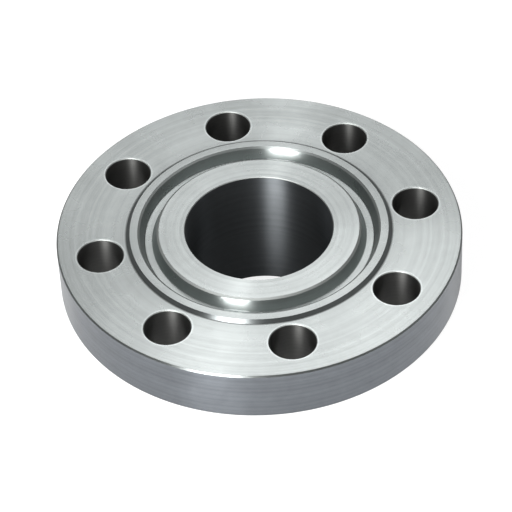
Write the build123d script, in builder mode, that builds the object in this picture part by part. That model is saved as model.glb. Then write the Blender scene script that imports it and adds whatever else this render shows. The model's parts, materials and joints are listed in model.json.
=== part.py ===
from build123d import *
from math import atan2, degrees, radians, tan
import os

# A weld neck flange with a ring type joint face, for a DN 100 pipe at 100 bar.
# It is one forging, turned all over and drilled. It stands on its weld end, so
# the bore runs up the Z axis from z = 0 and the raised face is on top.
# Every size is in millimetres and every angle in degrees.

# The disc that the bolts pull on
disc_diameter = 265.0
disc_thickness = 36.0
disc_edge_break = 1.0

# The hub behind the disc, which tapers down to the size of the pipe
overall_length = 92.0
hub_diameter = 150.0
hub_root_radius = 8.0
hub_blend_radius = 6.0
pipe_diameter = 114.3
pipe_straight = 12.0

# The end that is welded to the pipe
weld_bevel_angle = 37.5
weld_land = 1.6

# The low raised face round the ring groove
raised_height = 2.0
raised_top_diameter = 169.0
raised_foot_diameter = 173.6

# The groove that holds the metal sealing ring
groove_pitch_diameter = 145.0
groove_width = 12.0
groove_depth = 8.0
groove_wall_angle = 23.0
groove_corner_radius = 0.8
groove_edge_break = 1.0

# The bore and the bolt holes
bore_diameter = 97.0
bore_edge_break = 0.5
bolt_circle_diameter = 210.0
bolt_hole_count = 8
bolt_hole_diameter = 30.0
bolt_hole_edge_break = 0.5

# Heights and radii that follow from the sizes above
bolt_face_height = overall_length - raised_height
back_height = bolt_face_height - disc_thickness
pipe_radius = pipe_diameter / 2
bore_radius = bore_diameter / 2
land_radius = bore_radius + weld_land
bevel_height = (pipe_radius - land_radius) * tan(radians(weld_bevel_angle))
first_hole_angle = 180 / bolt_hole_count
groove_floor_width = groove_width - 2 * groove_depth * tan(radians(groove_wall_angle))
hub_taper_angle = degrees(atan2(hub_diameter / 2 - pipe_radius, back_height - pipe_straight))


def circles(part, radius, height):
    """The part's whole circular edges round Z that have this radius and height."""
    found = ShapeList()
    for edge in part.edges().filter_by(GeomType.CIRCLE):
        on_axis = abs(edge.arc_center.X) + abs(edge.arc_center.Y) < 0.001
        same_radius = abs(edge.radius - radius) < 0.001
        same_height = abs(edge.arc_center.Z - height) < 0.001
        if on_axis and same_radius and same_height:
            found.append(edge)
    return found


def hole_rims(part, height):
    """The rims of the bolt holes at this height."""
    found = ShapeList()
    for edge in part.edges().filter_by(GeomType.CIRCLE):
        same_radius = abs(edge.radius - bolt_hole_diameter / 2) < 0.001
        same_height = abs(edge.arc_center.Z - height) < 0.001
        if same_radius and same_height:
            found.append(edge)
    return found


with BuildPart() as flange:
    # The forging, turned outside: half of its section, from the bore's centre line out
    with BuildSketch(Plane.XZ) as turned_section:
        with BuildLine():
            Polyline(
                (0, 0),
                (land_radius, 0),
                (pipe_radius, bevel_height),
                (pipe_radius, pipe_straight),
                (hub_diameter / 2, back_height),
                (disc_diameter / 2, back_height),
                (disc_diameter / 2, bolt_face_height),
                (raised_foot_diameter / 2, bolt_face_height),
                (raised_top_diameter / 2, overall_length),
                (0, overall_length),
                close=True,
            )
        make_face()
    revolve(axis=Axis.Z)

    # The hub runs into the disc and into the pipe end in smooth curves
    fillet(circles(flange.part, hub_diameter / 2, back_height), hub_root_radius)
    fillet(circles(flange.part, pipe_radius, pipe_straight), hub_blend_radius)

    # The disc's two outer edges are broken
    chamfer(circles(flange.part, disc_diameter / 2, back_height), disc_edge_break)
    chamfer(circles(flange.part, disc_diameter / 2, bolt_face_height), disc_edge_break)

    # The bore, straight through
    Hole(radius=bore_radius)
    chamfer(circles(flange.part, bore_radius, overall_length), bore_edge_break)

    # The ring groove: a trapezoid that narrows to its floor, turned into the raised face
    with BuildSketch(Plane.XZ) as groove_section:
        with Locations((groove_pitch_diameter / 2, overall_length)):
            Trapezoid(
                width=groove_width,
                height=groove_depth,
                left_side_angle=90 - groove_wall_angle,
                rotation=180,
                align=(Align.CENTER, Align.MIN),
            )
        floor_corners = groove_section.vertices().group_by(Axis.Y)[0]
        fillet(floor_corners, groove_corner_radius)
    revolve(axis=Axis.Z, mode=Mode.SUBTRACT)
    for side in (-1, 1):
        mouth_radius = (groove_pitch_diameter + side * groove_width) / 2
        chamfer(circles(flange.part, mouth_radius, overall_length), groove_edge_break)

    # The bolt holes, drilled from the bolt face through the disc
    with PolarLocations(bolt_circle_diameter / 2, bolt_hole_count, start_angle=first_hole_angle):
        Hole(radius=bolt_hole_diameter / 2)
    chamfer(hole_rims(flange.part, bolt_face_height), bolt_hole_edge_break)
    chamfer(hole_rims(flange.part, back_height), bolt_hole_edge_break)

flange.part.label = "flange"

os.makedirs("parts", exist_ok=True)
export_step(flange.part, "parts/flange.step")

print(f"groove floor {groove_floor_width:.2f} mm wide, hub taper {hub_taper_angle:.1f} degrees")
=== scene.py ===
import json
import math
import bpy
import numpy as np
from mathutils import Matrix, Vector


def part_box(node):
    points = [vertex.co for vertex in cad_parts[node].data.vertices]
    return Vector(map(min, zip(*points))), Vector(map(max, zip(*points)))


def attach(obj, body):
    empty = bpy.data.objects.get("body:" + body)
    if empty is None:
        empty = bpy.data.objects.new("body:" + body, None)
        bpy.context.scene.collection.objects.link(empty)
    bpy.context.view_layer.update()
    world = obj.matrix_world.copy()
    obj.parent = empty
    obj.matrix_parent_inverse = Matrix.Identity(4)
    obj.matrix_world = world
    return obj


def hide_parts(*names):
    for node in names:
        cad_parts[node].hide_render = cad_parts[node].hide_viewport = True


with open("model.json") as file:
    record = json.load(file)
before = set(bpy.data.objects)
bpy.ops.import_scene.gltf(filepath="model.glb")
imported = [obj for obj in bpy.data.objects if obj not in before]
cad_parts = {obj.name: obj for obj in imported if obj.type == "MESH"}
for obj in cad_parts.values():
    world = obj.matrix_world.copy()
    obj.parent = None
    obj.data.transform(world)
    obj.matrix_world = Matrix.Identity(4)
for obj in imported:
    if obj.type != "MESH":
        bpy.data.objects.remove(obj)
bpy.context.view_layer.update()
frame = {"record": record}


# The flange's turned section
# Half of the forging's section, as the lathe leaves it: up the bore, out over the raised
# face and its ring groove, down the rim, and back under the disc along the hub to the weld end.
MM = 0.001
flange_low, flange_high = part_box("flange")
rim_radius = min(-flange_low.x, flange_high.x, -flange_low.y, flange_high.y) / MM
top_height = flange_high.z / MM
mount = {m["name"]: m for m in frame["record"]["mounts"]}
bore_radius = mount["bore"]["dims"]["r_mm"]
disc_back = mount["nut_face"]["pos_m"][2] / MM
bolt_face = top_height - 2.0
edge_break = 1.0
step_top_radius = 84.5
step_foot_radius = 86.8
groove_radius = 72.5
groove_half_width = 6.0
groove_depth = 8.0
groove_wall_angle = math.radians(23)
groove_corner = 0.8
groove_break = 1.0
bore_break = 0.5
hub_radius = 75.0
hub_root = 8.0
pipe_radius = 57.15
pipe_straight = 12.0
pipe_blend = 6.0
weld_land = 1.6
weld_bevel = math.radians(37.5)


def section_corners():
    """The section's corners in order: radius, height, rounding radius, and the finish up to the next corner."""
    floor = top_height - groove_depth
    floor_half = groove_half_width - groove_depth * math.tan(groove_wall_angle)
    wall_in = groove_break * math.sin(groove_wall_angle)
    wall_down = groove_break * math.cos(groove_wall_angle)
    inner_mouth = groove_radius - groove_half_width
    outer_mouth = groove_radius + groove_half_width
    land = bore_radius + weld_land
    return [
        (bore_radius, 0.0, 0.0, "bored"),
        (bore_radius, top_height - bore_break, 0.0, "hole_edges"),
        (bore_radius + bore_break, top_height, 0.0, "faced"),
        (inner_mouth - groove_break, top_height, 0.0, "hole_edges"),
        (inner_mouth + wall_in, top_height - wall_down, 0.0, "walls"),
        (groove_radius - floor_half, floor, groove_corner, "faced"),
        (groove_radius + floor_half, floor, groove_corner, "walls"),
        (outer_mouth - wall_in, top_height - wall_down, 0.0, "edges"),
        (outer_mouth + groove_break, top_height, 0.0, "faced"),
        (step_top_radius, top_height, 0.0, "step"),
        (step_foot_radius, bolt_face, 0.0, "drilled face"),
        (rim_radius - edge_break, bolt_face, 0.0, "edges"),
        (rim_radius, bolt_face - edge_break, 0.0, "rim"),
        (rim_radius, disc_back + edge_break, 0.0, "edges"),
        (rim_radius - edge_break, disc_back, 0.0, "drilled face"),
        (hub_radius, disc_back, hub_root, "hub"),
        (pipe_radius, pipe_straight, pipe_blend, "hub"),
        (pipe_radius, (pipe_radius - land) * math.tan(weld_bevel), 0.0, "hub"),
        (land, 0.0, 0.0, "hub"),
    ]


def section_runs(corners, arc_step=math.radians(10)):
    """Straight and round runs of the section, each as points, outward normals and its finish.
    A corner of radius p that turns by a starts p tan(a/2) before it, and its normals turn evenly."""
    points = np.array([c[:2] for c in corners])
    radii = np.array([c[2] for c in corners])
    ahead = np.roll(points, -1, 0) - points
    ahead /= np.linalg.norm(ahead, axis=1, keepdims=True)
    behind = np.roll(ahead, 1, 0)
    turn = np.arctan2(behind[:, 0] * ahead[:, 1] - behind[:, 1] * ahead[:, 0], (behind * ahead).sum(1))
    setback = radii * np.tan(np.abs(turn) / 2)
    starts = points + ahead * setback[:, None]
    ends = points - behind * setback[:, None]
    normals = np.stack([-ahead[:, 1], ahead[:, 0]], 1)
    found = []
    for i, (_, _, radius, finish) in enumerate(corners):
        if radius:
            side = np.sign(turn[i])
            steps = max(2, math.ceil(abs(turn[i]) / arc_step))
            angles = math.atan2(normals[i - 1, 1], normals[i - 1, 0]) + np.linspace(0, turn[i], steps + 1)
            outward = np.stack([np.cos(angles), np.sin(angles)], 1)
            arc = ends[i] + side * radius * (normals[i - 1] - outward)
            arc[-1] = starts[i]
            found.append((arc, outward, corners[i - 1][3] if corners[i - 1][3] != "drilled face" else "hub"))
        line = np.array([starts[i], ends[(i + 1) % len(corners)]])
        found.append((line, np.tile(normals[i], (2, 1)), finish))
    return found


# The turned surfaces
# Each run of the section swept once round the bore's axis, which is how the lathe makes it.
hole_circle = mount["bolt_holes"]["dims"]["pcd_mm"] / 2
hole_count = mount["bolt_holes"]["dims"]["count"]
hole_radius = mount["bolt_holes"]["dims"]["hole_r_mm"]
steps_a_hole = 60
azimuth = np.arange(steps_a_hole * hole_count) * 2 * math.pi / (steps_a_hole * hole_count)
round_cos, round_sin = np.cos(azimuth), np.sin(azimuth)
patches = []


def add_patch(points, normals, finish, around=None):
    """Keeps one smooth grid: its points and normals, rows by columns by 3, its finish, and how far round each is."""
    if around is None:
        around = np.zeros(points.shape[:2])
    patches.append((points, np.broadcast_to(normals, points.shape), finish, around))


def turned(points, normals, finish):
    """A run (r, z) swept round Z: x = r cos a, y = r sin a, and its normals likewise."""
    turn = np.append(np.arange(len(azimuth)), 0)
    c, s = round_cos[turn, None], round_sin[turn, None]
    swept = np.stack([c * points[:, 0], s * points[:, 0], np.ones_like(c) * points[:, 1]], 2)
    facing = np.stack([c * normals[:, 0], s * normals[:, 0], np.ones_like(c) * normals[:, 1]], 2)
    around = np.tile(np.linspace(0, 1, len(turn))[:, None], (1, len(points)))
    add_patch(swept, facing, finish, around)


# The drilled faces and the bolt holes
# Eight holes on one circle, drilled from the bolt face to the back and broken at both edges.
hole_break = 0.5
side_steps = 16
rings = 5


def sector_outline(first, inner, outer):
    """The edge of one eighth of a ring, anticlockwise from above: out along its first side,
    along the outer circle, in along its last side and back along the inner circle."""
    arc = (first + np.arange(steps_a_hole + 1)) % len(azimuth)
    across = np.linspace(inner, outer, side_steps + 1)
    ends = [np.outer(across, (round_cos[arc[e]], round_sin[arc[e]])) for e in (0, -1)]
    circles = [np.stack([r * round_cos[arc], r * round_sin[arc]], 1) for r in (inner, outer)]
    return np.concatenate([ends[0][:-1], circles[1][:-1], ends[1][:0:-1], circles[0][:0:-1]])


def drilled_sector(first, lower, upper):
    """One hole with the flat faces round it. Each face's grid runs straight from the hole's edge
    to the sector's outline, and the wall's grid runs down the hole between its two chamfers."""
    middle = azimuth[first] + math.pi / hole_count
    centre = hole_circle * np.array([math.cos(middle), math.sin(middle)])
    fronts = sector_outline(first, *upper)
    angle = np.arctan2(fronts[:, 1] - centre[1], fronts[:, 0] - centre[0])
    backs = sector_outline(first, *lower)
    close = np.append(np.arange(len(angle)), 0)
    spoke = np.stack([np.cos(angle), np.sin(angle)], 1)[close]
    level = np.ones(len(close))
    share = np.linspace(0, 1, rings + 1) ** 1.5

    def ring(radius, height):
        return np.column_stack([centre + radius * spoke, height * level])

    for outline, height, up in ((fronts, bolt_face, 1), (backs, disc_back, -1)):
        near = ring(hole_radius + hole_break, height)
        far = np.column_stack([outline[close], height * level])
        face = near + (far - near) * share[:, None, None]
        face[-1] = far
        add_patch(face[::up], np.array([0, 0, up]), "faced" if up > 0 else "back")
    edge, tilt = hole_radius + hole_break, math.sqrt(0.5)
    around = np.linspace(0, 1, len(close))
    inward = np.column_stack([-spoke, 0 * level])
    up = np.array([0, 0, 1])
    top = np.stack([ring(hole_radius, bolt_face - hole_break), ring(edge, bolt_face)])
    bottom = np.stack([ring(edge, disc_back), ring(hole_radius, disc_back + hole_break)])
    wall = np.stack([ring(hole_radius, disc_back + hole_break), ring(hole_radius, bolt_face - hole_break)])
    add_patch(top, tilt * (inward + up), "hole_edges", np.stack([around, around]))
    add_patch(bottom, tilt * (inward - up), "hole_edges", np.stack([around, around]))
    add_patch(wall, inward, "drilled", np.stack([around, around]))


runs = section_runs(section_corners())
faces = [points[:, 0] for points, _, finish in runs if finish == "drilled face"]
for points, normals, finish in runs:
    if finish != "drilled face":
        turned(points, normals, finish)
for hole in range(hole_count):
    drilled_sector(hole * steps_a_hole, faces[1][::-1], faces[0])


# The flange itself
# All the grids joined into one closed shell, each keeping its own exact normals, so that the
# chamfers stay crisp, the faces stay flat and the round walls have no facets.
finishes = ["faced", "walls", "edges", "step", "hole_edges", "rim", "bored", "hub", "back", "drilled"]


def joined(name):
    """One mesh of all the patches. Points that lie together become one, and a quad of grid
    cells (i, j), (i+1, j), (i+1, j+1), (i, j+1) is turned over where it faces inwards."""
    points, normals, around, quads, kinds, base = [], [], [], [], [], 0
    for grid, facing, finish, turn in patches:
        rows, columns = grid.shape[:2]
        index = base + np.arange(rows * columns).reshape(rows, columns)
        quad = np.stack([index[:-1, :-1], index[1:, :-1], index[1:, 1:], index[:-1, 1:]], 2)
        flat = grid.reshape(-1, 3)
        a, b, c = (flat[quad[..., k] - base] for k in (0, 1, 3))
        face_normal = np.cross(b - a, c - a)
        if (face_normal * facing[:-1, :-1]).sum() < 0:
            quad = quad[..., ::-1]
        quads.append(quad.reshape(-1, 4))
        kinds.append(np.full(quad.shape[0] * quad.shape[1], finishes.index(finish)))
        points.append(flat)
        normals.append(facing.reshape(-1, 3))
        around.append(turn.reshape(-1))
        base += len(flat)
    points, normals, around = np.concatenate(points), np.concatenate(normals), np.concatenate(around)
    quads, kinds = np.concatenate(quads), np.concatenate(kinds)
    shared, which = np.unique(np.round(points, 6) + 0.0, axis=0, return_inverse=True)
    mesh = bpy.data.meshes.new(name)
    mesh.from_pydata((shared * MM).tolist(), [], which.reshape(-1)[quads].tolist())
    mesh.polygons.foreach_set("material_index", kinds)
    mesh.polygons.foreach_set("use_smooth", np.ones(len(kinds), bool))
    mesh.normals_split_custom_set(normals[quads.ravel()].tolist())
    lines = mesh.uv_layers.new(name="turning")
    lines.data.foreach_set("uv", np.column_stack([around, points[:, 2] * MM])[quads.ravel()].ravel())
    mesh.update()
    return mesh


flange = bpy.data.objects.new("machined_flange", joined("machined_flange"))
bpy.context.scene.collection.objects.link(flange)
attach(flange, "root")
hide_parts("flange")


# The machined finishes
# Bare steel as the tool leaves it. The tool lines run round the axis, so a highlight spreads
# across them, and each surface has its own feed, polish and stain. The darker colours of the walls,
# edges, step, rim, bore and holes, and the darkening in corners, are painted shade.
def node(tree, kind, place=(0, 0), **values):
    """A node with its inputs set by name, or by number where the name is like input_0."""
    made = tree.nodes.new(kind)
    made.location = place
    for name, value in values.items():
        if name.startswith("input_"):
            made.inputs[int(name[6:])].default_value = value
        elif hasattr(made, name):
            setattr(made, name, value)
        else:
            made.inputs[name.replace("_", " ")].default_value = value
    return made


def group_of(name, takes, gives):
    """A new node group with float inputs and outputs of these names, apart from Across and Place,
    which are vectors. Gives the group, its input node and its output node."""
    group = bpy.data.node_groups.new(name, "ShaderNodeTree")
    for socket in takes:
        kind = "NodeSocketVector" if socket in ("Across", "Place") else "NodeSocketFloat"
        group.interface.new_socket(socket, in_out="INPUT", socket_type=kind)
    for socket in gives:
        group.interface.new_socket(socket, in_out="OUTPUT", socket_type="NodeSocketFloat")
    return group, node(group, "NodeGroupInput"), node(group, "NodeGroupOutput")


def tool_lines_group():
    """Lines left by the tool: noise that changes with radius and height and not with angle. Gives
    their height, a slow tone from ring to ring, a broad stain, and small blotches within it."""
    group, take, give = group_of("tool_lines", ("Across", "Place", "Feed"), ("Height", "Tone", "Stain", "Blotch"))
    link = group.links.new
    fine = node(group, "ShaderNodeTexNoise", noise_dimensions="2D", Detail=3.0, Roughness=0.6)
    broad = node(group, "ShaderNodeTexNoise", noise_dimensions="2D", Scale=330.0, Detail=4.0, Roughness=0.7)
    cloud = node(group, "ShaderNodeTexNoise", noise_dimensions="3D", Scale=24.0, Detail=4.0, Roughness=0.6)
    small = node(group, "ShaderNodeTexNoise", noise_dimensions="3D", Scale=130.0, Detail=5.0, Roughness=0.65)
    scale = node(group, "ShaderNodeMath", operation="DIVIDE", input_0=0.7)
    link(take.outputs["Feed"], scale.inputs[1])
    link(scale.outputs[0], fine.inputs["Scale"])
    for noise in (fine, broad):
        link(take.outputs["Across"], noise.inputs["Vector"])
    for noise in (cloud, small):
        link(take.outputs["Place"], noise.inputs["Vector"])
    for noise, output in ((fine, "Height"), (broad, "Tone"), (cloud, "Stain"), (small, "Blotch")):
        link(noise.outputs["Fac"], give.inputs[output])
    return group


def corner_shade_group():
    """Painted shade in a corner: 1 at the corner's radius or height, and 0 a width away on either side."""
    group, take, give = group_of("corner_dirt", ("Spot", "Corner", "Width"), ("Dirt",))
    link = group.links.new
    apart = node(group, "ShaderNodeMath", operation="SUBTRACT")
    size = node(group, "ShaderNodeMath", operation="ABSOLUTE")
    fade = node(group, "ShaderNodeMapRange", To_Min=1.0, To_Max=0.0)
    fade.interpolation_type = "SMOOTHSTEP"
    link(take.outputs["Spot"], apart.inputs[0])
    link(take.outputs["Corner"], apart.inputs[1])
    link(apart.outputs[0], size.inputs[0])
    link(size.outputs[0], fade.inputs["Value"])
    link(take.outputs["Width"], fade.inputs["From Max"])
    link(fade.outputs[0], give.inputs["Dirt"])
    return group


def hole_ring_group():
    """A lighter ring round each bolt hole, just outside its broken edge. The angle round Z is
    folded into one eighth, so the distance to the nearest hole's centre is
    sqrt(r r + p p - 2 r p cos(folded)) for the radius r and the bolt circle's radius p."""
    group, take, give = group_of("hole_ring", ("Place",), ("Ring",))
    link = group.links.new

    def sum_of(operation, *values):
        made = node(group, "ShaderNodeMath", operation=operation)
        for number, value in enumerate(values):
            if isinstance(value, (int, float)):
                made.inputs[number].default_value = value
            else:
                link(value, made.inputs[number])
        return made.outputs[0]

    split = node(group, "ShaderNodeSeparateXYZ")
    link(take.outputs["Place"], split.inputs[0])
    x, y = split.outputs["X"], split.outputs["Y"]
    square = sum_of("ADD", sum_of("MULTIPLY", x, x), sum_of("MULTIPLY", y, y))
    radius = sum_of("SQRT", square)
    part = sum_of("MULTIPLY_ADD", sum_of("ARCTAN2", y, x), hole_count / (2 * math.pi), hole_count)
    folded = sum_of("MULTIPLY_ADD", sum_of("FRACT", part), 2 * math.pi / hole_count, -math.pi / hole_count)
    circle = hole_circle * MM
    far = sum_of("MULTIPLY", sum_of("COSINE", folded), -2 * circle)
    distance = sum_of("SQRT", sum_of("ADD", sum_of("MULTIPLY_ADD", radius, far, circle * circle), square))
    off = sum_of("ABSOLUTE", sum_of("SUBTRACT", distance, (hole_radius + hole_break) * MM))
    fade = node(group, "ShaderNodeMapRange", From_Max=1.6 * MM, To_Min=1.0, To_Max=0.0)
    fade.interpolation_type = "SMOOTHSTEP"
    link(off, fade.inputs["Value"])
    link(fade.outputs[0], give.inputs["Ring"])
    return group


tool_lines = tool_lines_group()
corner_dirt = corner_shade_group()
hole_ring = hole_ring_group()


def machined(name, colour, roughness, anisotropy, feed=1.2, depth=4.0, metal=1.0, mottle=0.04, painted_shade=(), round_holes=False):
    """Steel with tool lines a feed apart in millimetres and a depth high in thousandths of one.
    Across is (radius, height) round Z, or height alone in a bolt hole. Its colour is scaled by
    1 + tone + blotches - painted shade + ring. Each painted_shade entry darkens a corner where shade falls, and is
    (0 for radius or 1 for height, corner, width, strength)."""
    material = bpy.data.materials.new(name)
    material.use_nodes = True
    tree = material.node_tree
    tree.nodes.clear()
    link = tree.links.new
    out = node(tree, "ShaderNodeOutputMaterial")
    steel = node(tree, "ShaderNodeBsdfPrincipled", Metallic=metal, Anisotropic=anisotropy, Anisotropic_Rotation=0.25)
    link(steel.outputs[0], out.inputs[0])
    place = node(tree, "ShaderNodeTexCoord")
    split = node(tree, "ShaderNodeSeparateXYZ")
    link(place.outputs["Object"], split.inputs[0])
    across = node(tree, "ShaderNodeCombineXYZ")
    link(split.outputs["Z"], across.inputs["Y"])
    tangent = node(tree, "ShaderNodeTangent", direction_type="RADIAL", axis="Z")
    spots = [None, split.outputs["Z"]]
    if name == "drilled_steel":
        tangent.direction_type, tangent.uv_map = "UV_MAP", "turning"
    else:
        flat = node(tree, "ShaderNodeVectorMath", operation="MULTIPLY", input_1=(1, 1, 0))
        radius = node(tree, "ShaderNodeVectorMath", operation="LENGTH")
        link(place.outputs["Object"], flat.inputs[0])
        link(flat.outputs["Vector"], radius.inputs[0])
        link(radius.outputs["Value"], across.inputs["X"])
        spots[0] = radius.outputs["Value"]
    link(tangent.outputs[0], steel.inputs["Tangent"])
    lines = node(tree, "ShaderNodeGroup")
    lines.node_tree = tool_lines
    lines.inputs["Feed"].default_value = feed * MM
    link(across.outputs[0], lines.inputs["Across"])
    link(place.outputs["Object"], lines.inputs["Place"])

    def added(total, value, low, high):
        """Adds to the total a value between 0.3 and 0.7, mapped to lie between low and high."""
        ranged = node(tree, "ShaderNodeMapRange", From_Min=0.3, From_Max=0.7, To_Min=low, To_Max=high)
        ranged.clamp = False
        link(value, ranged.inputs["Value"])
        if total is None:
            return ranged.outputs[0]
        both = node(tree, "ShaderNodeMath", operation="ADD")
        link(total, both.inputs[0])
        link(ranged.outputs[0], both.inputs[1])
        return both.outputs[0]

    shade = added(None, lines.outputs["Tone"], 1 - 2.2 * mottle, 1 + 2.2 * mottle)
    shade = added(shade, lines.outputs["Blotch"], -mottle, mottle)
    shade = added(shade, lines.outputs["Stain"], -mottle, mottle)
    # Painted shade: a darker colour in a band round each listed corner, where shade falls.
    for along, corner, width, strength in painted_shade:
        darkening = node(tree, "ShaderNodeGroup")
        darkening.node_tree = corner_dirt
        darkening.inputs["Corner"].default_value = corner * MM
        darkening.inputs["Width"].default_value = width * MM
        link(spots[along], darkening.inputs["Spot"])
        less = node(tree, "ShaderNodeMath", operation="MULTIPLY_ADD", input_1=-strength)
        link(darkening.outputs["Dirt"], less.inputs[0])
        link(shade, less.inputs[2])
        shade = less.outputs[0]
    if round_holes:
        ring = node(tree, "ShaderNodeGroup")
        ring.node_tree = hole_ring
        link(place.outputs["Object"], ring.inputs["Place"])
        more = node(tree, "ShaderNodeMath", operation="MULTIPLY_ADD", input_1=0.35)
        link(ring.outputs["Ring"], more.inputs[0])
        link(shade, more.inputs[2])
        shade = more.outputs[0]
    paint = node(tree, "ShaderNodeVectorMath", operation="SCALE", input_0=colour)
    link(shade, paint.inputs["Scale"])
    link(paint.outputs[0], steel.inputs["Base Color"])
    link(added(None, lines.outputs["Stain"], roughness - 0.03, roughness + 0.03), steel.inputs["Roughness"])
    bump = node(tree, "ShaderNodeBump", Strength=1.0, Distance=depth * 0.000001)
    link(lines.outputs["Height"], bump.inputs["Height"])
    link(bump.outputs[0], steel.inputs["Normal"])
    return material


steel_grey = (0.57, 0.605, 0.60)
floor_half = groove_half_width - groove_depth * math.tan(groove_wall_angle)
# Painted shade: dark lines at the foot of the raised face, a faint broad band round it, and at both corners of the
# groove floor.
shaded_corners = (
    (0, step_foot_radius, 1.5, 0.65),
    (0, step_foot_radius, 9.0, 0.10),
    (0, groove_radius - floor_half, 0.7, 0.6),
    (0, groove_radius + floor_half, 0.7, 0.6),
)
# Painted shade: a dark band along the bottom edge of the rim.
shaded_rim_foot = ((1, disc_back + edge_break, 1.6, 0.30),)
# Painted shade: the walls, edges, step, hole edges, rim, bore and bolt holes are the same steel as the faces with
# darker base colours, standing in for the dark surroundings they reflect and the shade inside recesses.
for finish in (
    machined("faced_steel", steel_grey, 0.27, 0.94, painted_shade=shaded_corners, round_holes=True),
    machined("wall_steel", (0.34, 0.368, 0.362), 0.295, 0.92, feed=0.8, depth=1.0),
    machined("edge_steel", (0.28, 0.30, 0.295), 0.40, 0.93, feed=0.8, depth=1.0),
    machined("step_steel", (0.20, 0.215, 0.215), 0.34, 0.93, feed=0.8, depth=1.0),
    machined("broken_edge_steel", (0.36, 0.38, 0.37), 0.55, 0.0, feed=0.8, depth=1.0),
    machined("rim_steel", (0.20, 0.215, 0.234), 0.225, 0.95, feed=1.5, depth=6.0, mottle=0.06, painted_shade=shaded_rim_foot),
    machined("bored_steel", (0.112, 0.120, 0.126), 0.46, 0.97, depth=6.0, metal=0.95),
    machined("hub_steel", (0.52, 0.53, 0.54), 0.36, 0.6, feed=1.5, depth=6.0),
    machined("back_steel", steel_grey, 0.36, 0.7, feed=1.5, depth=5.0, round_holes=True),
    machined("drilled_steel", (0.085, 0.085, 0.082), 0.48, 0.88, depth=6.0, metal=0.92),
):
    flange.data.materials.append(finish)


camera_turn = math.radians(12.85)


# The stage
# A pale floor under soft light, seen from where the photographer stood.
def emission(tree, strength, colour=(1, 1, 1)):
    return node(tree, "ShaderNodeEmission", Color=(*colour, 1), Strength=strength)


floor_mesh = bpy.data.meshes.new("floor")
floor_size = 6.0
floor_mesh.from_pydata([(-floor_size, -floor_size, 0), (floor_size, -floor_size, 0), (floor_size, floor_size, 0), (-floor_size, floor_size, 0)], [], [(0, 1, 2, 3)])
floor = bpy.data.objects.new("floor", floor_mesh)
bpy.context.scene.collection.objects.link(floor)
paper = bpy.data.materials.new("paper")
paper.use_nodes = True
tree = paper.node_tree
tree.nodes.clear()
out = node(tree, "ShaderNodeOutputMaterial")
matte = node(tree, "ShaderNodeBsdfDiffuse", Color=(0.8, 0.8, 0.8, 1))
seen = node(tree, "ShaderNodeLightPath")
mirrored = node(tree, "ShaderNodeMath", operation="MULTIPLY", input_1=0.08)
tree.links.new(seen.outputs["Is Glossy Ray"], mirrored.inputs[0])
lift = node(tree, "ShaderNodeMath", operation="MULTIPLY_ADD", input_1=0.55)
tree.links.new(seen.outputs["Is Camera Ray"], lift.inputs[0])
tree.links.new(mirrored.outputs[0], lift.inputs[2])
glow = emission(tree, 1.5)
both = node(tree, "ShaderNodeMixShader")
tree.links.new(lift.outputs[0], both.inputs[0])
tree.links.new(matte.outputs[0], both.inputs[1])
tree.links.new(glow.outputs[0], both.inputs[2])
tree.links.new(both.outputs[0], out.inputs[0])
floor_mesh.materials.append(paper)

# World: white to the camera, and a studio that is dark low down and bright above to the metal
world = bpy.data.worlds.new("studio")
bpy.context.scene.world = world
world.use_nodes = True
tree = world.node_tree
tree.nodes.clear()
out = node(tree, "ShaderNodeOutputWorld")
way = node(tree, "ShaderNodeTexCoord")
spread = node(tree, "ShaderNodeMapping", vector_type="TEXTURE")
spread.inputs["Rotation"].default_value = (0, 0, camera_turn)
spread.inputs["Scale"].default_value = (2.2, 1, 1)
tree.links.new(way.outputs["Generated"], spread.inputs[0])
unit = node(tree, "ShaderNodeVectorMath", operation="NORMALIZE")
tree.links.new(spread.outputs[0], unit.inputs[0])
wall_way = node(tree, "ShaderNodeVectorMath", operation="DOT_PRODUCT")
tree.links.new(unit.outputs[0], wall_way.inputs[0])
wall_way.inputs[1].default_value = Vector((0.06, 0.70, 0.71)).normalized()
rise = node(tree, "ShaderNodeMapRange", From_Min=0.84, From_Max=0.98, To_Min=0.32, To_Max=0.42)
rise.interpolation_type = "SMOOTHSTEP"
tree.links.new(wall_way.outputs["Value"], rise.inputs["Value"])
seen = node(tree, "ShaderNodeLightPath")
pick = node(tree, "ShaderNodeMix", data_type="FLOAT", input_3=1.0)
tree.links.new(seen.outputs["Is Camera Ray"], pick.inputs["Factor"])
tree.links.new(rise.outputs[0], pick.inputs["A"])
pick.inputs["B"].default_value = 1.0
sky = node(tree, "ShaderNodeBackground")
tree.links.new(pick.outputs["Result"], sky.inputs["Strength"])
tree.links.new(sky.outputs[0], out.inputs[0])


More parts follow.
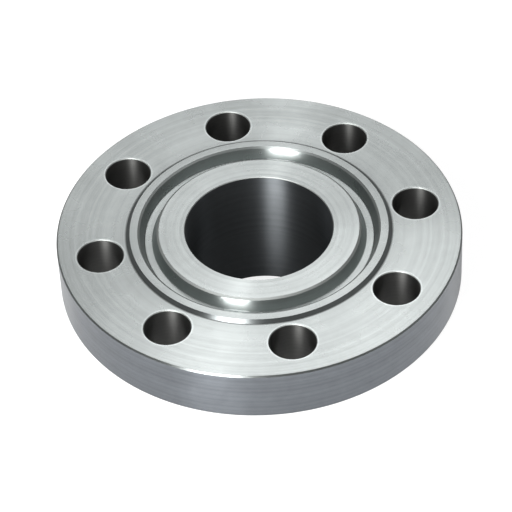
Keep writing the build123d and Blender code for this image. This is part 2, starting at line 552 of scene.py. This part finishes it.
# The camera: its height, distance and lens are worked out from the ellipses of the rim, the
# groove and the bore, and its turn from the bolt holes.
camera_elevation = math.radians(43.326)
camera_distance = 1.7162
camera_roll = math.radians(-2.959)
aim_point = Vector((-0.0028, -0.0249, 0))


def photo_camera():
    """The camera's place from its angles, with its right and up axes turned by the roll."""
    turn = Matrix.Rotation(camera_turn, 3, "Z")
    centre = Vector((0, 0, bolt_face * MM))
    eye = Vector((0, -math.cos(camera_elevation), math.sin(camera_elevation))) * camera_distance
    ahead = (aim_point - eye).normalized()
    right = ahead.cross(Vector((0, 0, 1))).normalized()
    up = right.cross(ahead)
    c, s = math.cos(camera_roll), math.sin(camera_roll)
    right, up = c * right + s * up, c * up - s * right
    lens = bpy.data.cameras.new("photo_camera")
    lens.sensor_width, lens.lens = 36.0, 184.86
    lens.clip_start, lens.clip_end = 0.05, 50
    camera = bpy.data.objects.new("photo_camera", lens)
    axes = turn @ Matrix((right, up, -ahead)).transposed()
    camera.matrix_world = Matrix.Translation(centre + turn @ eye) @ axes.to_4x4()
    bpy.context.scene.collection.objects.link(camera)
    return camera


bpy.context.scene.camera = photo_camera()


def softbox(name, place, target, width, height, radiance):
    """A rectangular lamp of even brightness. Its place and what it faces are in metres as the
    photographer sees them: x to the right, y away, z up. Its power is pi times area times radiance."""
    lamp = bpy.data.lights.new(name, "AREA")
    lamp.shape, lamp.size, lamp.size_y = "RECTANGLE", width, height
    lamp.energy = math.pi * width * height * radiance
    turn = Matrix.Rotation(camera_turn, 4, "Z")
    back = (Vector(place) - Vector(target)).to_track_quat("Z", "Y")
    box = bpy.data.objects.new(name, lamp)
    box.matrix_world = turn @ Matrix.Translation(place) @ back.to_matrix().to_4x4()
    box.visible_camera = False
    bpy.context.scene.collection.objects.link(box)
    return box


softbox("overhead", (0.05, 0.27, 0.54), (0.05, 0.271, 0), 0.42, 0.44, 1.45)
window_way = math.radians(-116)
softbox("window", (1.6 * math.cos(window_way), 1.6 * math.sin(window_way), 1.12), (0, 0, 1.12), 0.68, 1.76, 20.0)

bpy.context.scene.view_settings.view_transform = "Standard"
